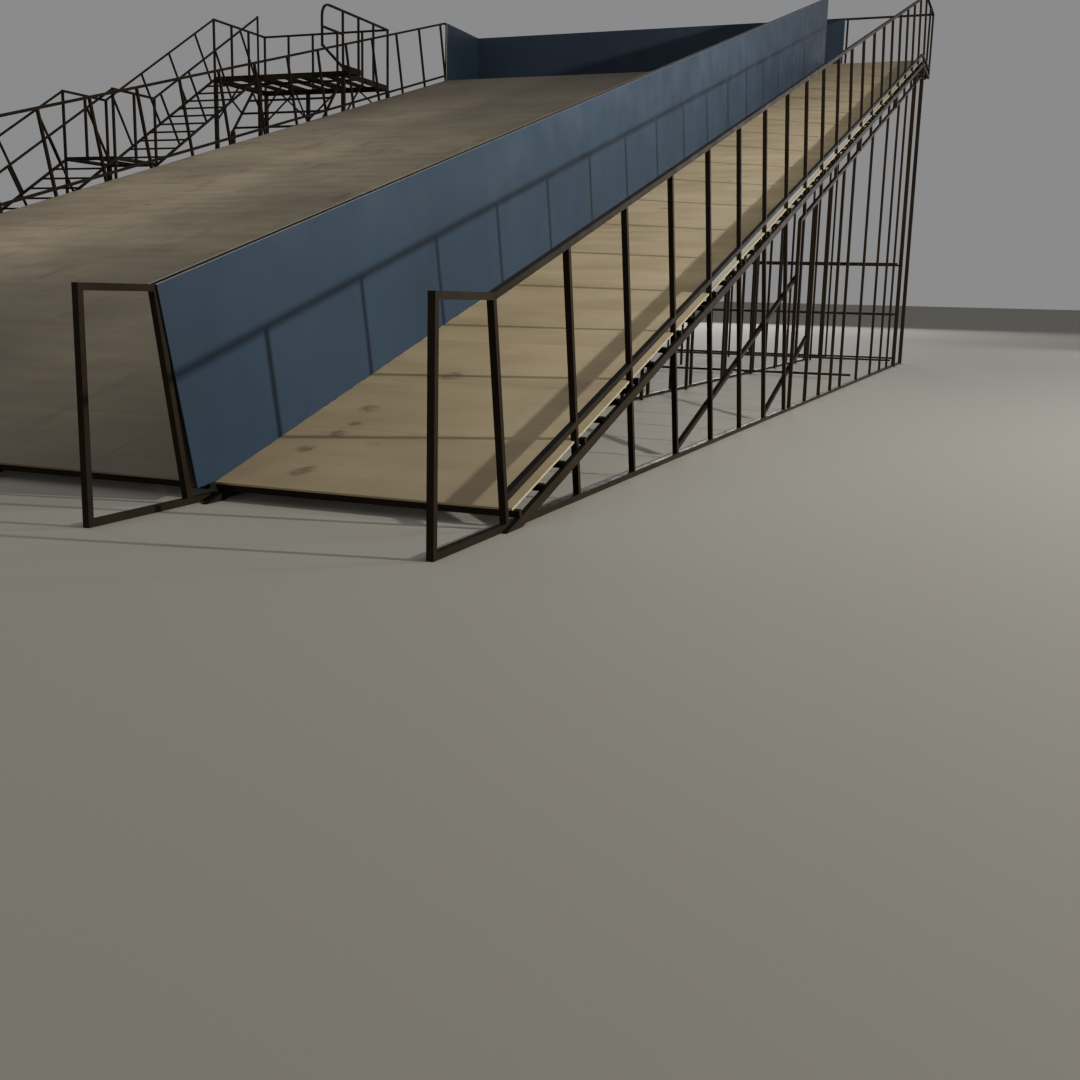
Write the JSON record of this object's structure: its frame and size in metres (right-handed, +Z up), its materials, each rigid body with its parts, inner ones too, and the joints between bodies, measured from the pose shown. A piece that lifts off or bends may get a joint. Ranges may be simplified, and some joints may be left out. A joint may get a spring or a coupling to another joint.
{
  "type": "playground slide",
  "caption": "Wide indoor ramp slide with plywood lanes on a dark steel tube frame, blue sheeted divider and platform walls, side rails and a stair.",
  "frame": {"origin": "centre of the footprint, on the ground", "axes": "+Y uphill along the lanes, +X towards the narrow lane, +Z up"},
  "size_m": [18.13, 30.65, 9.325],
  "materials": {
    "steel": "dark, satin, dusty",
    "blue_paint": "satin",
    "plywood": "bare, matt"
  },
  "bodies": {
    "root": {"back_wall_frame": "steel", "back_wall_skin": "blue_paint", "divider_frame": "steel", "divider_skin_left": "blue_paint", "divider_skin_right": "blue_paint", "landing_back_columns": "steel", "landing_front_columns": "steel", "landing_rail_back": "steel", "landing_rail_left": "steel", "landing_rail_right": "steel", "landing_strut_columns": "steel", "landing_strut_frame": "steel", "left_lane_deck": "plywood", "left_lane_grid": "steel", "left_return_skin": "blue_paint", "left_wall_frame": "steel", "lower_flight": "steel", "lower_flight_rail_left": "steel", "lower_flight_rail_right": "steel", "middle_back_columns": "steel", "middle_front_columns": "steel", "middle_landing": "steel", "middle_rail_left": "steel", "middle_rail_right": "steel", "platform_deck": "plywood", "platform_grid": "steel", "right_lane_deck": "plywood", "right_lane_grid": "steel", "right_wall_frame": "steel", "side_brace_long": "steel", "side_brace_short": "steel", "support_bent_1": "steel", "support_bent_10": "steel", "support_bent_11": "steel", "support_bent_2": "steel", "support_bent_3": "steel", "support_bent_4": "steel", "support_bent_5": "steel", "support_bent_6": "steel", "support_bent_7": "steel", "support_bent_8": "steel", "support_bent_9": "steel", "upper_flight": "steel", "upper_flight_rail_left": "steel", "upper_flight_rail_right": "steel", "upper_landing": "steel"}
  },
  "joints": []
}
